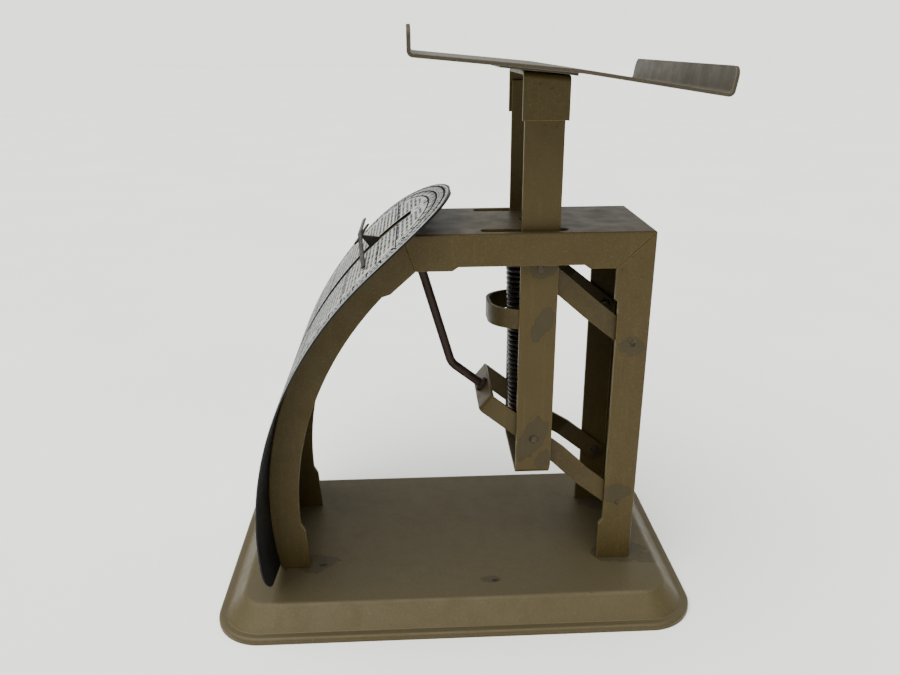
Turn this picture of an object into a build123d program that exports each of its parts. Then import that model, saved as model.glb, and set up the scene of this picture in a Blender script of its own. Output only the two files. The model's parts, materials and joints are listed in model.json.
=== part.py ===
from build123d import *
import os
from math import asin, cos, degrees, hypot, radians, sin, tan

os.makedirs("parts", exist_ok=True)

# Spring scale with a lever parallelogram. X runs from the dial to the rear post, Z is up,
# the origin is the middle of the base on the table. All sizes are in millimetres.

# base pan
base_length = 160.0
base_width = 94.5
base_corner = 16.0
foot_length = 154.4          # where the sloped side meets the flange
foot_width = 89.1
foot_corner = 13.0
deck_length = 142.2
deck_width = 76.8
deck_corner = 8.0
flange_height = 2.2
deck_height = 9.1
pan_sheet = 0.9

# linkage: the two links are equal and parallel
post_pivot_x = 56.9
lower_pivot_z = 31.5
pivot_spacing = 59.8
link_length = 37.56
link_rest_angle = 38.7
upper_pivot_z = lower_pivot_z + pivot_spacing
link_run = link_length * cos(radians(link_rest_angle))
link_rise = link_length * sin(radians(link_rest_angle))
column_pivot_x = post_pivot_x - link_run
column_lower_z = lower_pivot_z + link_rise
column_upper_z = upper_pivot_z + link_rise

# frame channel
sheet = 1.2
frame_half = 20.0            # half of the outside width
frame_height = 127.0
post_back = 62.4
leg_radius = 119.65          # outside of the front leg, about the lower rear pivot
side_depth = 10.15
post_depth = 10.6
lug_depth = 11.4
foot_lug_height = 14.0
lug_slant = 1.8
bend_radius = 0.6
mitre_gap = 0.25
mitre_groove = 0.5
column_slot_left = 8.7
column_slot_right = 36.0
column_slot_width = 4.4
column_slot_y = 15.5
tab_width = 6.0
tab_toe = 3.4

# dial
dial_sheet = 0.5
card_thickness = 0.15
card_margin = 0.5
dial_half_width = 40.0
dial_top_angle = 61.8
dial_bottom_angle = -10.5
dial_nose = 27.0             # length of the half ellipse at the upper end
dial_corner = 10.0
dial_slot_width = 6.4
web_slot_width = 4.8
dial_slot_top = 54.9
dial_slot_bottom = -2.5
web_slot_top = 52.0

# column
leg_left = 21.4
leg_right = 33.3
leg_outside = 16.2
leg_bottom = 42.0
leg_top = 169.2
cap_left = 20.6
cap_right = 34.3
cap_sheet = 1.1
cap_bottom = 159.4

# tray
tray_sheet = 1.0
tray_half_width = 46.9
tray_left = -12.2
tray_bend_x = 31.5
tray_right = 70.0
tray_bend_z = 173.35         # underside at the crease
tray_left_slope = 5.44
tray_right_slope = 8.97
lip_height = 7.6
lip_corner = 3.0
lip_bend = 1.6

# tray fixing
tray_crease = 60.0           # radius of the crease
rivet_x = 27.45
rivet_spacing = 18.0
rivet_radius = 1.2
rivet_head_radius = 2.1
rivet_head = 0.8
stiffener_left = 13.9
stiffener_right = 36.4
stiffener_width = 34.0

# guard band
band_left = 12.4
band_end_x = 26.0
band_bend = 12.0
band_sheet = 1.1
band_width = 6.5
band_middle_z = 96.6
band_tilt = 4.0              # the band sits a little lower on the far leg

# spring
wire_radius = 0.75
coil_radius = 6.2
spring_top_x = 25.4
spring_top_z = 118.0
spring_foot_x = 27.4
spring_foot_z = 57.0
plug_radius = 5.3
plug_length = 6.0
plug_flange = 1.2
hook_radius = 1.1
hook_foot = 1.2
screw_radius = 1.6
screw_head_radius = 3.0
screw_length = 13.0
screw_slot_width = 0.7
screw_slot_depth = 0.8

# links
link_width = 6.6
link_inside_offset = 0.3     # gap between a link arm and the part it turns in
running_gap = 0.06
rear_pin_radius = 0.9
front_pin_radius = 1.2
lower_link_reach = 58.9      # from the rear pivot to the outside of the front plate
flare_start = 17.0
flare_end = 27.0

# pivot pins
pin_stand_out = 0.15
pin_head_gap = 0.2
pin_head_lip = 0.9
pin_head = 0.8

# pointer, side view points (X, Z) of its wire and sheet, and the bars across it
pointer_wire_radius = 1.5
collar_radius = 2.7
collar_length = 1.5
wire_lift = 0.4              # the wire sits this far above the middle of the link
wire_upset = 0.7
wire_knee = (0.35, 77.3)
wire_shoulder = (-10.0, 113.6)
wire_end = (-23.6, 119.8)
wire_knee_bend = 6.0
wire_shoulder_bend = 10.0
pointer_angle = 47.6
pointer_strip = 1.3
pointer_sheet = 0.6
stem_outline = [(-22.79, 121.35), (-22.6, 122.0), (-29.0, 122.8), (-25.9, 118.7), (-24.41, 118.25)]
pointer_bars = [
    ((-28.5, 18.0, 124.0), (-29.1, -0.3, 123.1)),
    ((-29.1, 0.3, 123.1), (-26.5, -27.0, 119.4)),
    ((-26.9, 8.0, 124.2), (-30.0, -6.0, 121.5)),
]

# places that follow from the sizes above
lower_pivot = (post_pivot_x, lower_pivot_z)
upper_pivot = (post_pivot_x, upper_pivot_z)
leg_inside = leg_outside - sheet
flange_inside = frame_half - sheet
front_arm_outside = leg_inside - link_inside_offset
rear_arm_outside = flange_inside - link_inside_offset
dial_back_radius = leg_radius + dial_sheet
dial_front_radius = dial_back_radius + card_thickness
dial_middle_angle = (dial_top_angle + dial_bottom_angle) / 2
dial_plane = Plane(
    origin=(post_pivot_x, 0, lower_pivot_z),
    x_dir=(sin(radians(dial_middle_angle)), 0, cos(radians(dial_middle_angle))),
    z_dir=(-cos(radians(dial_middle_angle)), 0, sin(radians(dial_middle_angle))),
)
along_link = Vector(-cos(radians(link_rest_angle)), 0, sin(radians(link_rest_angle)))
across_link = Vector(sin(radians(link_rest_angle)), 0, cos(radians(link_rest_angle)))
wire_seat = Plane(
    origin=(
        post_pivot_x + lower_link_reach * along_link.X + wire_lift * across_link.X,
        0,
        lower_pivot_z + lower_link_reach * along_link.Z + wire_lift * across_link.Z,
    ),
    x_dir=(0, 1, 0),
    z_dir=along_link,
)
wire_inner_end = wire_seat.offset(-sheet - 0.6).origin
spring_top = Vector(spring_top_x, 0, spring_top_z)
spring_foot = Vector(spring_foot_x, 0, spring_foot_z)
spring_axis = (spring_top - spring_foot).normalized()
anchor_plane = Plane(origin=spring_top, x_dir=(0, 1, 0), z_dir=spring_axis)
foot_plane = Plane(origin=spring_foot, x_dir=(0, 1, 0), z_dir=spring_axis)
band_plane = Plane(
    origin=(0, 0, band_middle_z),
    x_dir=(1, 0, 0),
    z_dir=(0, sin(radians(band_tilt)), cos(radians(band_tilt))),
)


def on_leg(angle, radius):
    """Side view point at an angle above the lower rear pivot, towards the dial."""
    across = radius * cos(radians(angle))
    up = radius * sin(radians(angle))
    return (post_pivot_x - across, lower_pivot_z + up)


def rise_angle(height, radius):
    return degrees(asin((height - lower_pivot_z) / radius))


def arch(depth, back_depth):
    """Side view of the frame filled in down to the deck, drawn in by depth, and at the back."""
    radius = leg_radius - depth
    top = frame_height - depth
    back = post_back - back_depth
    foot_angle = rise_angle(deck_height, radius)
    corner_angle = rise_angle(top, radius)
    with BuildSketch() as outline:
        with BuildLine():
            CenterArc(lower_pivot, radius, 180 - corner_angle, corner_angle - foot_angle)
            Polyline(
                on_leg(corner_angle, radius), (back, top), (back, deck_height), on_leg(foot_angle, radius)
            )
        make_face()
    return outline.sketch


def ring_sector(inner, outer, low_angle, high_angle):
    """Side view of a curved strip about the lower rear pivot."""
    span = high_angle - low_angle
    with BuildSketch() as strip:
        with BuildLine():
            CenterArc(lower_pivot, outer, 180 - high_angle, span)
            Line(on_leg(low_angle, outer), on_leg(low_angle, inner))
            CenterArc(lower_pivot, inner, 180 - high_angle, span)
            Line(on_leg(high_angle, inner), on_leg(high_angle, outer))
        make_face()
    return strip.sketch


def pan_form(skin):
    """The pan as a filled block, drawn in by skin everywhere except at the table."""
    with BuildPart() as form:
        with BuildSketch(Plane.XY):
            RectangleRounded(base_length - 2 * skin, base_width - 2 * skin, base_corner - skin)
        extrude(amount=flange_height - skin)
        with BuildSketch(Plane.XY.offset(flange_height - skin)):
            RectangleRounded(foot_length - 2 * skin, foot_width - 2 * skin, foot_corner - skin)
        with BuildSketch(Plane.XY.offset(deck_height - skin)):
            RectangleRounded(deck_length - 2 * skin, deck_width - 2 * skin, deck_corner - skin)
        loft()
        levels = form.faces().filter_by(Plane.XY).sort_by(Axis.Z)
        fillet(levels[-1].edges(), radius=2.4 - skin)
        levels = form.faces().filter_by(Plane.XY).sort_by(Axis.Z)
        fillet(levels[1].outer_wire().edges(), radius=1.1 - skin)
    return form.part


def dial_chord(angle):
    """Distance along the dial's chord from its middle to an angle on its face."""
    return dial_front_radius * sin(radians(angle - dial_middle_angle))


def pointer_slot(top_angle, radius, width, mode=Mode.ADD):
    """Slot that the pointer runs in, seen square on to the dial."""
    low = radius * sin(radians(dial_slot_bottom - dial_middle_angle))
    high = radius * sin(radians(top_angle - dial_middle_angle))
    with Locations(((low + high) / 2, 0)):
        SlotOverall(high - low, width, mode=mode)


def tray_underside(x):
    """Height of the underside of the tray, which falls to the right with a crease."""
    slope = tray_left_slope if x < tray_bend_x else tray_right_slope
    return tray_bend_z - (x - tray_bend_x) * tan(radians(slope))


def link_plan(pivot):
    """Plan view of a link: x runs from the rear pivot along the link, y to the near side."""
    return Plane(origin=(pivot[0], 0, pivot[1]), x_dir=along_link, z_dir=across_link)


def link_side(pivot):
    """Side view of a link: x runs from the rear pivot along the link, y is its upper edge."""
    return Plane(origin=(pivot[0], 0, pivot[1]), x_dir=along_link, z_dir=(0, 1, 0))


def on_lip_corner(edge):
    """True for the short edges at the top corners of the two lips."""
    return abs(edge.length - tray_sheet) < 0.01 and abs(abs(edge.center().Y) - tray_half_width) < 0.01


tray_seat = Plane(
    origin=(rivet_x, 0, tray_underside(rivet_x)),
    x_dir=(0, 1, 0),
    z_dir=(sin(radians(tray_left_slope)), 0, cos(radians(tray_left_slope))),
)
rivet_places = [(-rivet_spacing / 2, 0), (rivet_spacing / 2, 0)]
rivet_grip = 2.4             # from the underside of the tray to the closing head in the cap
with BuildPart() as rivet_cores:
    with BuildSketch(tray_seat.offset(-rivet_grip)):
        with Locations(*rivet_places):
            Circle(rivet_radius)
    extrude(amount=rivet_grip + tray_sheet)
    with BuildSketch(tray_seat.offset(tray_sheet)):
        with Locations(*rivet_places):
            Circle(rivet_head_radius)
    extrude(amount=-0.9, taper=44)

# ---------------------------------------------------------------- base pan
foot_front_x = (on_leg(rise_angle(deck_height, leg_radius), leg_radius)[0] + side_depth / 2)
foot_rear_x = post_back - side_depth / 2
tab_y = frame_half - sheet / 2
tab_places = [(x, y) for x in (foot_front_x, foot_rear_x) for y in (-tab_y, tab_y)]
toe_middle = frame_half - tab_toe / 2
toe_places = [(x, y) for x in (foot_front_x, foot_rear_x) for y in (-toe_middle, toe_middle)]
toe_top = deck_height - pan_sheet - 0.05

pan_outside = pan_form(0)
pan_inside = pan_form(pan_sheet)
with BuildPart() as base_pan:
    add(pan_outside)
    add(pan_inside, mode=Mode.SUBTRACT)
    with BuildSketch(Plane.XY.offset(deck_height - 2 * pan_sheet)):
        with Locations(*tab_places):
            Rectangle(tab_width + 0.4, sheet + 0.4)
    extrude(amount=3 * pan_sheet, mode=Mode.SUBTRACT)
base_pan.part.label = "base_pan"
export_step(base_pan.part, "parts/base_pan.step")

# ---------------------------------------------------------------- frame channel
corner_x = on_leg(rise_angle(frame_height, leg_radius), leg_radius)[0]
inner_top = frame_height - lug_depth
leg_edge_radius = leg_radius - side_depth
leg_lug_radius = leg_radius - lug_depth
inner_corner_x = on_leg(rise_angle(inner_top, leg_lug_radius), leg_lug_radius)[0]
post_lug_x = post_back - lug_depth - 0.4
post_edge_x = post_back - post_depth
top_edge_z = frame_height - side_depth
foot_lug_top = deck_height + foot_lug_height
lug_root = 3.0               # how far a lug outline reaches into the flange that carries it

rear_foot_lug = [
    (post_edge_x + lug_root, deck_height),
    (post_lug_x, deck_height),
    (post_lug_x, foot_lug_top),
    (post_edge_x, foot_lug_top + lug_slant),
    (post_edge_x + lug_root, foot_lug_top + lug_slant),
]
rear_top_lug = [
    (post_edge_x + lug_root, inner_top - 11.2),
    (post_edge_x, inner_top - 11.2),
    (post_lug_x, inner_top - 10.0),
    (post_lug_x, inner_top),
    (post_lug_x - 8.3, inner_top),
    (post_lug_x - 8.3 - lug_slant, top_edge_z),
    (post_lug_x - 8.3 - lug_slant, top_edge_z + lug_root),
    (post_edge_x + lug_root, top_edge_z + lug_root),
]
front_foot_lug = [
    on_leg(rise_angle(deck_height, leg_edge_radius + lug_root), leg_edge_radius + lug_root),
    on_leg(rise_angle(deck_height, leg_edge_radius), leg_edge_radius),
    on_leg(-4.1, leg_lug_radius),
    on_leg(-2.5, leg_edge_radius),
    on_leg(-2.5, leg_edge_radius + lug_root),
]
front_top_lug = [
    (lug_slant, top_edge_z + lug_root),
    (lug_slant, top_edge_z),
    (0.0, inner_top),
    (inner_corner_x, inner_top),
    on_leg(45.4, leg_lug_radius),
    on_leg(44.1, leg_edge_radius),
    on_leg(44.1, leg_edge_radius + lug_root),
    (inner_corner_x, inner_top + 2 * lug_root),
]
# each groove starts just inside the outer corner
front_mitre = ((corner_x + 0.5, frame_height - 2), (inner_corner_x, inner_top - 0.5))
rear_mitre = ((post_back - 0.9, frame_height - 0.9), (post_lug_x - 0.2, inner_top - 0.2))


def on_outside_bend(edge):
    """True for the long outer edges of both sides and for the two corners of the web."""
    middle = edge.center()
    radius = hypot(middle.X - post_pivot_x, middle.Z - lower_pivot_z)
    on_top = abs(middle.Z - frame_height) < 0.01
    on_back = abs(middle.X - post_back) < 0.01
    on_front = edge.geom_type == GeomType.CIRCLE and abs(edge.radius - leg_radius) < 0.01
    return (on_top or on_back or on_front) and middle.Z > deck_height + 1


with BuildPart() as frame_channel:
    # the web: one strip seen edge on, the full width of the frame
    with BuildSketch(Plane.XZ):
        add(arch(0, 0))
        add(arch(sheet, sheet), mode=Mode.SUBTRACT)
    extrude(amount=frame_half, both=True)
    # the near side flange with its lugs, then the far one
    with BuildSketch(Plane.XZ.offset(flange_inside)):
        add(arch(0, 0))
        add(arch(side_depth, post_depth), mode=Mode.SUBTRACT)
        for lug in (rear_foot_lug, rear_top_lug, front_foot_lug, front_top_lug):
            Polygon(*lug, align=None)
    extrude(amount=sheet)
    mirror(about=Plane.XZ)
    fillet(frame_channel.edges().filter_by(on_outside_bend), radius=bend_radius)
    # the grooves where the flanges of the bent strip meet
    for side in (-1, 1):
        groove_plane = Plane.XZ.offset(side * (frame_half - mitre_groove))
        with BuildSketch(groove_plane):
            for outer_end, inner_end in (front_mitre, rear_mitre):
                middle = ((outer_end[0] + inner_end[0]) / 2, (outer_end[1] + inner_end[1]) / 2)
                SlotCenterPoint(middle, inner_end, mitre_gap)
        extrude(amount=side * 2 * mitre_groove, mode=Mode.SUBTRACT)
    # slots for the legs of the column, and the seat of the zero screw
    with BuildSketch(Plane.XY.offset(frame_height - 2 * sheet)):
        slot_middle = (column_slot_left + column_slot_right) / 2
        with Locations((slot_middle, -column_slot_y), (slot_middle, column_slot_y)):
            SlotOverall(column_slot_right - column_slot_left, column_slot_width)
    extrude(amount=3 * sheet, mode=Mode.SUBTRACT)
    with Locations((spring_top_x, 0, frame_height)):
        CounterSinkHole(screw_radius + running_gap, screw_head_radius + running_gap, depth=3 * sheet)
    # slot for the pointer
    with BuildSketch(dial_plane.offset(leg_radius / 2)):
        pointer_slot(web_slot_top, leg_radius, web_slot_width)
    extrude(amount=leg_radius, mode=Mode.SUBTRACT)
    # holes of the rear pivots
    with BuildSketch(Plane.XZ):
        with Locations(lower_pivot, upper_pivot):
            Circle(rear_pin_radius)
    extrude(amount=frame_half + 1, both=True, mode=Mode.SUBTRACT)
    # tabs through the deck, bent inwards under it
    with BuildSketch(Plane.XY.offset(toe_top - sheet)):
        with Locations(*tab_places):
            Rectangle(tab_width, sheet)
    extrude(amount=deck_height - toe_top + sheet)
    with BuildSketch(Plane.XY.offset(toe_top - sheet)):
        with Locations(*toe_places):
            Rectangle(tab_width, tab_toe)
    extrude(amount=sheet)
frame_channel.part.label = "frame_channel"
export_step(frame_channel.part, "parts/frame_channel.step")

# ---------------------------------------------------------------- dial
def dial_outline(margin):
    """Outline of the dial seen square on, drawn in by margin, its nose towards +X."""
    half = dial_half_width - margin
    nose_start = dial_chord(dial_top_angle) - dial_nose
    lowest = dial_chord(dial_bottom_angle) + margin
    corner_end = (lowest + 1.9, half - dial_corner)
    with BuildSketch() as outline:
        with BuildLine():
            EllipticalCenterArc((nose_start, 0), dial_nose - margin, half, -90, arc_size=180)
            side = Line((nose_start, half), (lowest + 1.2 * dial_corner, half))
            corner = TangentArc(side @ 1, corner_end, tangent=side % 1)
            ThreePointArc(corner @ 1, (lowest, 0), (corner_end[0], -corner_end[1]))
            mirror(side, about=Plane.XZ)
            mirror(corner, about=Plane.XZ)
        make_face()
    return outline.sketch


with BuildPart() as dial_plate:
    with BuildSketch(Plane.XZ):
        add(ring_sector(leg_radius, dial_back_radius, dial_bottom_angle, dial_top_angle))
    extrude(amount=dial_half_width, both=True)
    with BuildSketch(dial_plane):
        add(dial_outline(0))
        pointer_slot(dial_slot_top, dial_back_radius, dial_slot_width, Mode.SUBTRACT)
    extrude(amount=2 * leg_radius, mode=Mode.INTERSECT)
dial_plate.part.label = "dial_plate"
export_step(dial_plate.part, "parts/dial_plate.step")

with BuildPart() as dial_face:
    with BuildSketch(Plane.XZ):
        add(ring_sector(dial_back_radius, dial_front_radius, dial_bottom_angle, dial_top_angle))
    extrude(amount=dial_half_width, both=True)
    with BuildSketch(dial_plane):
        add(dial_outline(card_margin))
        pointer_slot(dial_slot_top, dial_back_radius, dial_slot_width, Mode.SUBTRACT)
    extrude(amount=2 * leg_radius, mode=Mode.INTERSECT)
dial_face.part.label = "dial_face"
export_step(dial_face.part, "parts/dial_face.step")

# ---------------------------------------------------------------- column
with BuildPart() as column_strap:
    with BuildSketch(Plane.YZ.offset(leg_left)):
        with BuildLine():
            FilletPolyline(
                (-leg_outside, leg_top),
                (-leg_outside, leg_bottom),
                (leg_outside, leg_bottom),
                (leg_outside, leg_top),
                radius=1.9,
            )
            offset(amount=sheet, side=Side.LEFT)
        make_face()
    extrude(amount=leg_right - leg_left)
    # relief beside the bottom bend
    with BuildSketch(Plane.XZ):
        Polygon(
            (leg_right - 0.7, leg_bottom - 1),
            (leg_right + 1, leg_bottom - 1),
            (leg_right + 1, leg_bottom + 4),
            (leg_right, leg_bottom + 3.4),
            align=None,
        )
    extrude(amount=leg_outside + 1, both=True, mode=Mode.SUBTRACT)
    with BuildSketch(Plane.XZ):
        with Locations((column_pivot_x, column_lower_z), (column_pivot_x, column_upper_z)):
            Circle(front_pin_radius)
    extrude(amount=leg_outside + 1, both=True, mode=Mode.SUBTRACT)
    with BuildSketch(Plane.XY.offset(leg_bottom - sheet)):
        with Locations((spring_foot_x, 0)):
            Circle(hook_radius)
    extrude(amount=3 * sheet, mode=Mode.SUBTRACT)
column_strap.part.label = "column_strap"
export_step(column_strap.part, "parts/column_strap.step")

with BuildPart() as column_cap:
    # its web follows the slope of the tray, close under the stiffener
    web_top = tray_underside(cap_left) - tray_sheet - 0.22
    with BuildSketch(Plane.YZ.offset(cap_left)):
        with BuildLine():
            FilletPolyline(
                (-leg_outside - cap_sheet, cap_bottom - cap_sheet),
                (-leg_outside - cap_sheet, web_top),
                (leg_outside + cap_sheet, web_top),
                (leg_outside + cap_sheet, cap_bottom - cap_sheet),
                radius=1.8,
            )
            offset(amount=cap_sheet, side=Side.RIGHT)
        make_face()
    slope = radians(tray_left_slope)
    extrude(amount=(cap_right - cap_left) / cos(slope), dir=(cos(slope), 0, -sin(slope)))
    split(bisect_by=Plane.XY.offset(cap_bottom), keep=Keep.TOP)
    add(rivet_cores.part, mode=Mode.SUBTRACT)
column_cap.part.label = "column_cap"
export_step(column_cap.part, "parts/column_cap.step")

# ---------------------------------------------------------------- tray
with BuildPart() as tray:
    with BuildSketch(Plane.XZ):
        with BuildLine():
            FilletPolyline(
                (tray_left, tray_underside(tray_left) + lip_height),
                (tray_left, tray_underside(tray_left)),
                (tray_bend_x, tray_bend_z),
                (tray_right, tray_underside(tray_right)),
                (
                    tray_right + lip_height * sin(radians(tray_right_slope)),
                    tray_underside(tray_right) + lip_height * cos(radians(tray_right_slope)),
                ),
                radius=(lip_bend, tray_crease, lip_bend),
            )
            offset(amount=tray_sheet, side=Side.LEFT)
        make_face()
    extrude(amount=tray_half_width, both=True)
    fillet(tray.edges().filter_by(on_lip_corner), radius=lip_corner)
    add(rivet_cores.part, mode=Mode.SUBTRACT)
tray.part.label = "tray"
export_step(tray.part, "parts/tray.step")

with BuildPart() as tray_stiffener:
    with BuildSketch(Plane.XZ):
        with BuildLine():
            FilletPolyline(
                (stiffener_left, tray_underside(stiffener_left)),
                (tray_bend_x, tray_bend_z),
                (stiffener_right, tray_underside(stiffener_right)),
                radius=tray_crease,
            )
            offset(amount=tray_sheet, side=Side.RIGHT)
        make_face()
    extrude(amount=stiffener_width / 2, both=True)
    add(rivet_cores.part, mode=Mode.SUBTRACT)
tray_stiffener.part.label = "tray_stiffener"
export_step(tray_stiffener.part, "parts/tray_stiffener.step")

with BuildPart() as tray_rivets:
    add(rivet_cores.part)
    with BuildSketch(tray_seat.offset(-rivet_grip)):
        with Locations(*rivet_places):
            Circle(rivet_head_radius)
    extrude(amount=-rivet_head)
tray_rivets.part.label = "tray_rivets"
export_step(tray_rivets.part, "parts/tray_rivets.step")

# ---------------------------------------------------------------- guard band
with BuildPart() as guard_band:
    band_half = leg_inside / cos(radians(band_tilt))
    with BuildSketch(band_plane):
        with BuildLine():
            FilletPolyline(
                (band_end_x, -band_half),
                (band_left, -band_half),
                (band_left, band_half),
                (band_end_x, band_half),
                radius=band_bend,
            )
            offset(amount=band_sheet, side=Side.RIGHT)
        make_face()
    extrude(amount=band_width / 2, dir=(0, 0, 1), both=True)
guard_band.part.label = "guard_band"
export_step(guard_band.part, "parts/guard_band.step")

# ---------------------------------------------------------------- links
with BuildPart() as lower_link:
    with BuildSketch(link_plan(lower_pivot)):
        with BuildLine():
            FilletPolyline(
                (-link_width / 2, rear_arm_outside),
                (flare_start, rear_arm_outside),
                (flare_end, front_arm_outside),
                (lower_link_reach, front_arm_outside),
                (lower_link_reach, -front_arm_outside),
                (flare_end, -front_arm_outside),
                (flare_start, -rear_arm_outside),
                (-link_width / 2, -rear_arm_outside),
                radius=(4, 4, 1.8, 1.8, 4, 4),
            )
            offset(amount=sheet, side=Side.RIGHT)
        make_face()
    extrude(amount=link_width / 2, both=True)
    with BuildSketch(link_side(lower_pivot)):
        Circle(link_width / 2)
        Rectangle(lower_link_reach, link_width, align=(Align.MIN, Align.CENTER))
    extrude(amount=frame_half, both=True, mode=Mode.INTERSECT)
    with BuildSketch(link_side(lower_pivot)):
        Circle(rear_pin_radius + running_gap)
        with Locations((link_length, 0)):
            Circle(front_pin_radius + running_gap)
    extrude(amount=frame_half, both=True, mode=Mode.SUBTRACT)
    with BuildSketch(wire_seat.offset(-2 * sheet)):
        Circle(pointer_wire_radius)
    extrude(amount=3 * sheet, mode=Mode.SUBTRACT)
lower_link.part.label = "lower_link"
export_step(lower_link.part, "parts/lower_link.step")

for name, hand in (("upper_link_near", 1), ("upper_link_far", -1)):
    with BuildPart() as upper_link:
        with BuildSketch(link_plan(upper_pivot)):
            with BuildLine():
                FilletPolyline(
                    (-link_width / 2, hand * rear_arm_outside),
                    (flare_start, hand * rear_arm_outside),
                    (flare_end, hand * front_arm_outside),
                    (link_length + link_width / 2, hand * front_arm_outside),
                    radius=4,
                )
                offset(amount=sheet, side=Side.RIGHT if hand > 0 else Side.LEFT)
            make_face()
        extrude(amount=link_width / 2, both=True)
        with BuildSketch(link_side(upper_pivot)):
            with Locations((link_length / 2, 0)):
                SlotCenterToCenter(link_length, link_width)
        extrude(amount=frame_half, both=True, mode=Mode.INTERSECT)
        with BuildSketch(link_side(upper_pivot)):
            Circle(rear_pin_radius + running_gap)
            with Locations((link_length, 0)):
                Circle(front_pin_radius + running_gap)
        extrude(amount=frame_half, both=True, mode=Mode.SUBTRACT)
    upper_link.part.label = name
    export_step(upper_link.part, f"parts/{name}.step")

# ---------------------------------------------------------------- pivot pins
rear_pin = (frame_half, rear_arm_outside - sheet, rear_pin_radius)
front_pin = (leg_outside, front_arm_outside - sheet, front_pin_radius)
pin_places = {
    "rear_lower_pin": (lower_pivot, rear_pin),
    "rear_upper_pin": (upper_pivot, rear_pin),
    "front_lower_pin": ((column_pivot_x, column_lower_z), front_pin),
    "front_upper_pin": ((column_pivot_x, column_upper_z), front_pin),
}
for place, (centre, (outside, inside, radius)) in pin_places.items():
    for side_name, side in (("near", -1), ("far", 1)):
        start = (centre[0], side * (outside + pin_stand_out), centre[1])
        inwards = Plane(origin=start, x_dir=(1, 0, 0), z_dir=(0, -side, 0))
        shank = outside + pin_stand_out - inside + pin_head_gap
        with BuildPart() as pin:
            with BuildSketch(inwards):
                Circle(radius)
            extrude(amount=shank)
            chamfer(pin.faces().sort_by(Axis.Y)[0 if side < 0 else -1].edges(), length=pin_stand_out)
            with BuildSketch(inwards.offset(shank)):
                Circle(radius + pin_head_lip)
            extrude(amount=pin_head)
        pin.part.label = f"{place}_{side_name}"
        export_step(pin.part, f"parts/{place}_{side_name}.step")

# ---------------------------------------------------------------- pointer
with BuildPart() as pointer_wire:
    with BuildLine(Plane.XZ) as wire_path:
        FilletPolyline(
            (wire_inner_end.X, wire_inner_end.Z),
            wire_knee,
            wire_shoulder,
            wire_end,
            radius=(wire_knee_bend, wire_shoulder_bend),
        )
    with BuildSketch(wire_path.line ^ 0):
        Circle(pointer_wire_radius)
    sweep()
    # the end upset inside the front plate
    with BuildSketch(wire_seat.offset(-sheet)):
        Circle(pointer_wire_radius + wire_upset)
    extrude(amount=-0.6)
pointer_wire.part.label = "pointer_wire"
export_step(pointer_wire.part, "parts/pointer_wire.step")

with BuildPart() as wire_collar:
    with BuildSketch(wire_seat):
        Circle(collar_radius)
        Circle(pointer_wire_radius, mode=Mode.SUBTRACT)
    extrude(amount=collar_length)
    free_end = wire_collar.faces().sort_by(Axis(wire_seat.origin, along_link))[-1]
    chamfer(free_end.outer_wire().edges(), length=0.5)
wire_collar.part.label = "wire_collar"
export_step(wire_collar.part, "parts/wire_collar.step")

with BuildPart() as pointer:
    with BuildSketch(Plane.XZ):
        Polygon(*stem_outline, align=None)
    extrude(amount=0.4, both=True)
    tangent = (sin(radians(pointer_angle)), 0, cos(radians(pointer_angle)))
    for start, end in pointer_bars:
        span = Vector(end) - Vector(start)
        with BuildSketch(Plane(origin=start, x_dir=tangent, z_dir=span)):
            Rectangle(pointer_strip, pointer_sheet)
        extrude(amount=span.length)
pointer.part.label = "pointer"
export_step(pointer.part, "parts/pointer.step")

# ---------------------------------------------------------------- spring and its ends
with BuildPart() as spring:
    # the close coils as one sleeve, from the inside to the outside of the wire
    with BuildSketch(foot_plane):
        Circle(coil_radius + wire_radius)
        Circle(coil_radius - wire_radius, mode=Mode.SUBTRACT)
    extrude(amount=(spring_top - spring_foot).length)
spring.part.label = "spring"
export_step(spring.part, "parts/spring.step")

with BuildPart() as spring_anchor:
    with BuildSketch(anchor_plane):
        Circle(plug_radius)
    extrude(amount=-plug_length)
    with BuildSketch(anchor_plane):
        Circle(coil_radius)
    extrude(amount=plug_flange)
    with BuildSketch(Plane.XY.offset(frame_height)):
        with Locations((spring_top_x, 0)):
            Circle(screw_radius + running_gap)
    extrude(amount=-screw_length - 1, mode=Mode.SUBTRACT)
spring_anchor.part.label = "spring_anchor"
export_step(spring_anchor.part, "parts/spring_anchor.step")

with BuildPart() as spring_hook:
    with BuildSketch(foot_plane):
        Circle(plug_radius)
    extrude(amount=plug_length)
    with BuildSketch(foot_plane):
        Circle(coil_radius)
    extrude(amount=-plug_flange)
    # the stem goes down through the bottom of the column and is upset below it
    with BuildSketch(Plane.XY.offset(leg_bottom - 0.1)):
        with Locations((spring_foot_x, 0)):
            Circle(hook_radius)
    extrude(amount=spring_foot_z - leg_bottom)
    with BuildSketch(Plane.XY.offset(leg_bottom)):
        with Locations((spring_foot_x, 0)):
            Circle(2 * hook_radius)
    extrude(amount=-hook_foot)
spring_hook.part.label = "spring_hook"
export_step(spring_hook.part, "parts/spring_hook.step")

with BuildPart() as zero_screw:
    with BuildSketch(Plane.XZ):
        with BuildLine():
            Polyline(
                (spring_top_x, frame_height),
                (spring_top_x + screw_head_radius, frame_height),
                (spring_top_x + screw_radius, frame_height - screw_head_radius + screw_radius),
                (spring_top_x + screw_radius, frame_height - screw_length),
                (spring_top_x, frame_height - screw_length),
                close=True,
            )
        make_face()
    revolve(axis=Axis((spring_top_x, 0, 0), (0, 0, 1)))
    with BuildSketch(Plane.XY.offset(frame_height)):
        with Locations((spring_top_x, 0)):
            Rectangle(3 * screw_head_radius, screw_slot_width)
    extrude(amount=-screw_slot_depth, mode=Mode.SUBTRACT)
zero_screw.part.label = "zero_screw"
export_step(zero_screw.part, "parts/zero_screw.step")
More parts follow.
